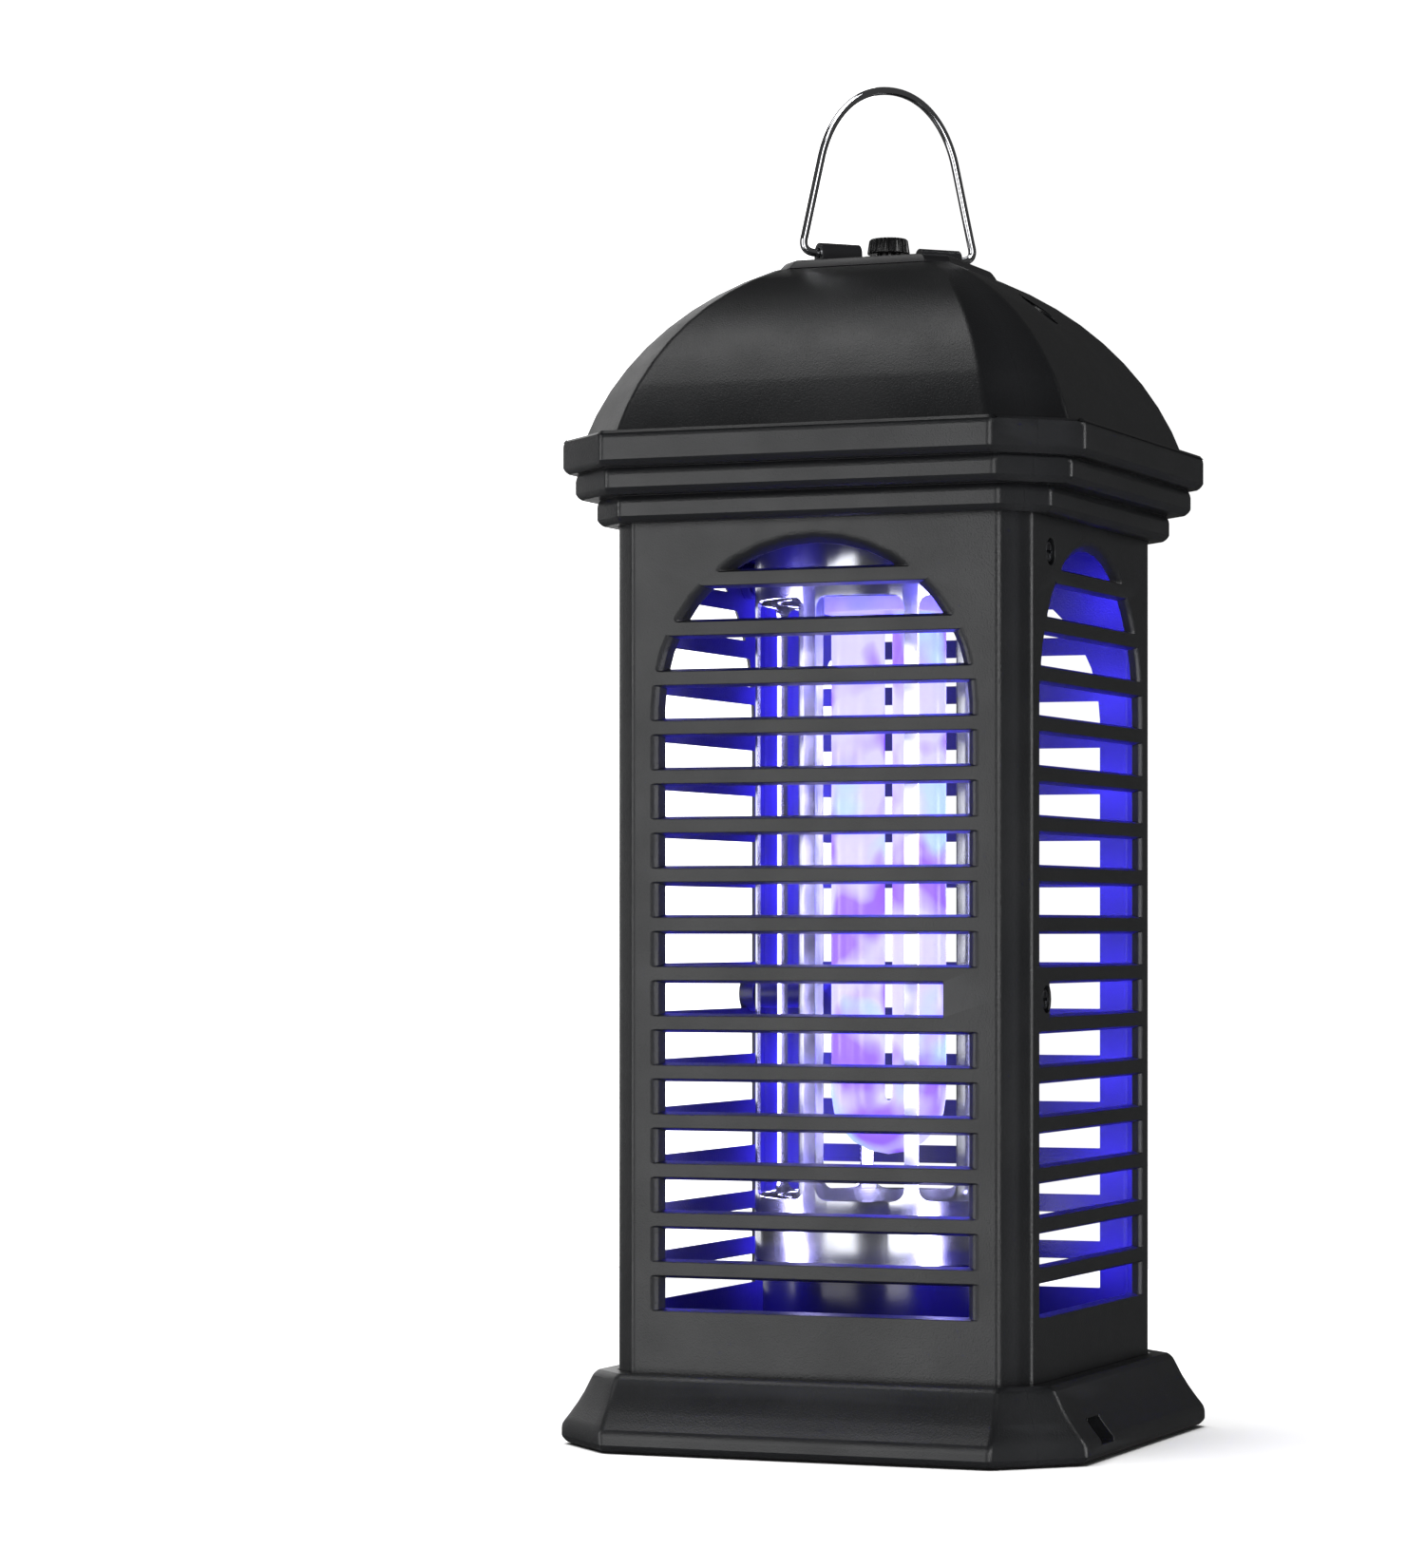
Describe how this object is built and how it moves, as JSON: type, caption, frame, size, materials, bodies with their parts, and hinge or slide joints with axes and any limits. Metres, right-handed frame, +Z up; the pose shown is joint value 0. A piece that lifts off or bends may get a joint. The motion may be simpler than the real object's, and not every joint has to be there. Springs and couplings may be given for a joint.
{
  "type": "electric bug zapper",
  "caption": "Lantern-shaped electric insect zapper: louvred square column on a flared base, stepped cornice, domed roof with a wire bail, and a round electrode cage around a tube lamp",
  "frame": {"origin": "centre of the footprint, on the surface the feet stand on", "axes": "+Z up; -Y is out of the front louvre; +X is out of the right louvre"},
  "size_m": [0.135, 0.135, 0.3358],
  "materials": {
    "housing_plastic": "dark grey moulded plastic with a fine spark-eroded grain",
    "cap_plastic": "near-black moulded plastic, satin",
    "bail_chrome": "chromed drawn steel wire",
    "knob_plastic": "black moulded plastic, ribbed rim",
    "black_plastic": "black moulded plastic",
    "insulator_plastic": "dark grey insulating plastic",
    "electrode_metal": "bright pierced sheet steel",
    "lamp_plastic": "white heat-resistant plastic",
    "lamp_glass": "phosphor-coated lamp glass, lit violet-white",
    "foot_rubber": "black moulded rubber",
    "board_laminate": "green glass-fibre laminate",
    "choke_winding": "taped copper winding on a ferrite core",
    "component_case": "sleeved component case",
    "lead_insulation": "red wire insulation",
    "screw_steel": "blackened steel screws"
  },
  "bodies": {
    "housing": {"right_louvre_panel": "housing_plastic", "rear_louvre_panel": "housing_plastic", "left_louvre_panel": "housing_plastic", "front_louvre_panel": "housing_plastic", "right_base_half": "housing_plastic", "left_base_half": "housing_plastic", "right_roof_half": "housing_plastic", "left_roof_half": "housing_plastic", "right_column_top_screw": "screw_steel", "left_column_top_screw": "screw_steel", "right_column_middle_screw": "screw_steel", "left_column_middle_screw": "screw_steel", "right_base_seam_screw": "screw_steel", "left_base_seam_screw": "screw_steel", "top_cap": "cap_plastic", "switch_body": "black_plastic", "right_roof_screw": "screw_steel", "left_roof_screw": "screw_steel", "cord_grommet": "foot_rubber", "upper_deck": "black_plastic", "upper_insulator": "insulator_plastic", "outer_electrode": "electrode_metal", "inner_electrode": "electrode_metal", "lower_insulator": "insulator_plastic", "insect_chute": "black_plastic", "column_floor": "black_plastic", "lamp_holder": "lamp_plastic", "lamp_base": "lamp_plastic", "lamp_tube": "lamp_glass", "circuit_board": "board_laminate", "ballast_choke": "choke_winding", "smoothing_capacitor": "component_case", "multiplier_capacitor_1": "component_case", "multiplier_capacitor_2": "component_case", "multiplier_capacitor_3": "component_case", "lamp_starter": "component_case", "outer_electrode_lead": "lead_insulation", "inner_electrode_lead": "lead_insulation", "switch_lead": "lead_insulation", "base_plate": "black_plastic", "foot_1": "foot_rubber", "foot_2": "foot_rubber", "foot_3": "foot_rubber", "foot_4": "foot_rubber", "base_plate_screw_1": "screw_steel", "base_plate_screw_2": "screw_steel", "base_plate_screw_3": "screw_steel", "base_plate_screw_4": "screw_steel"},
    "bail": {"bail": "bail_chrome"},
    "switch_knob": {"switch_knob": "knob_plastic"},
    "insect_tray": {"insect_tray": "black_plastic"}
  },
  "joints": [
    {"name": "bail_hinge", "type": "hinge", "parent": "housing", "child": "bail", "pos_m": [0, 0, 0.2934], "axis": [0.7071, 0.7071, 0], "range_deg": [-90, 90]},
    {"name": "switch_turn", "type": "hinge", "parent": "housing", "child": "switch_knob", "pos_m": [0, 0, 0.29], "axis": [0, 0, 1], "range_deg": [0, 90]},
    {"name": "tray_pull", "type": "slide", "parent": "housing", "child": "insect_tray", "axis": [0, 0, -1], "range_m": [0, 0.03]}
  ]
}
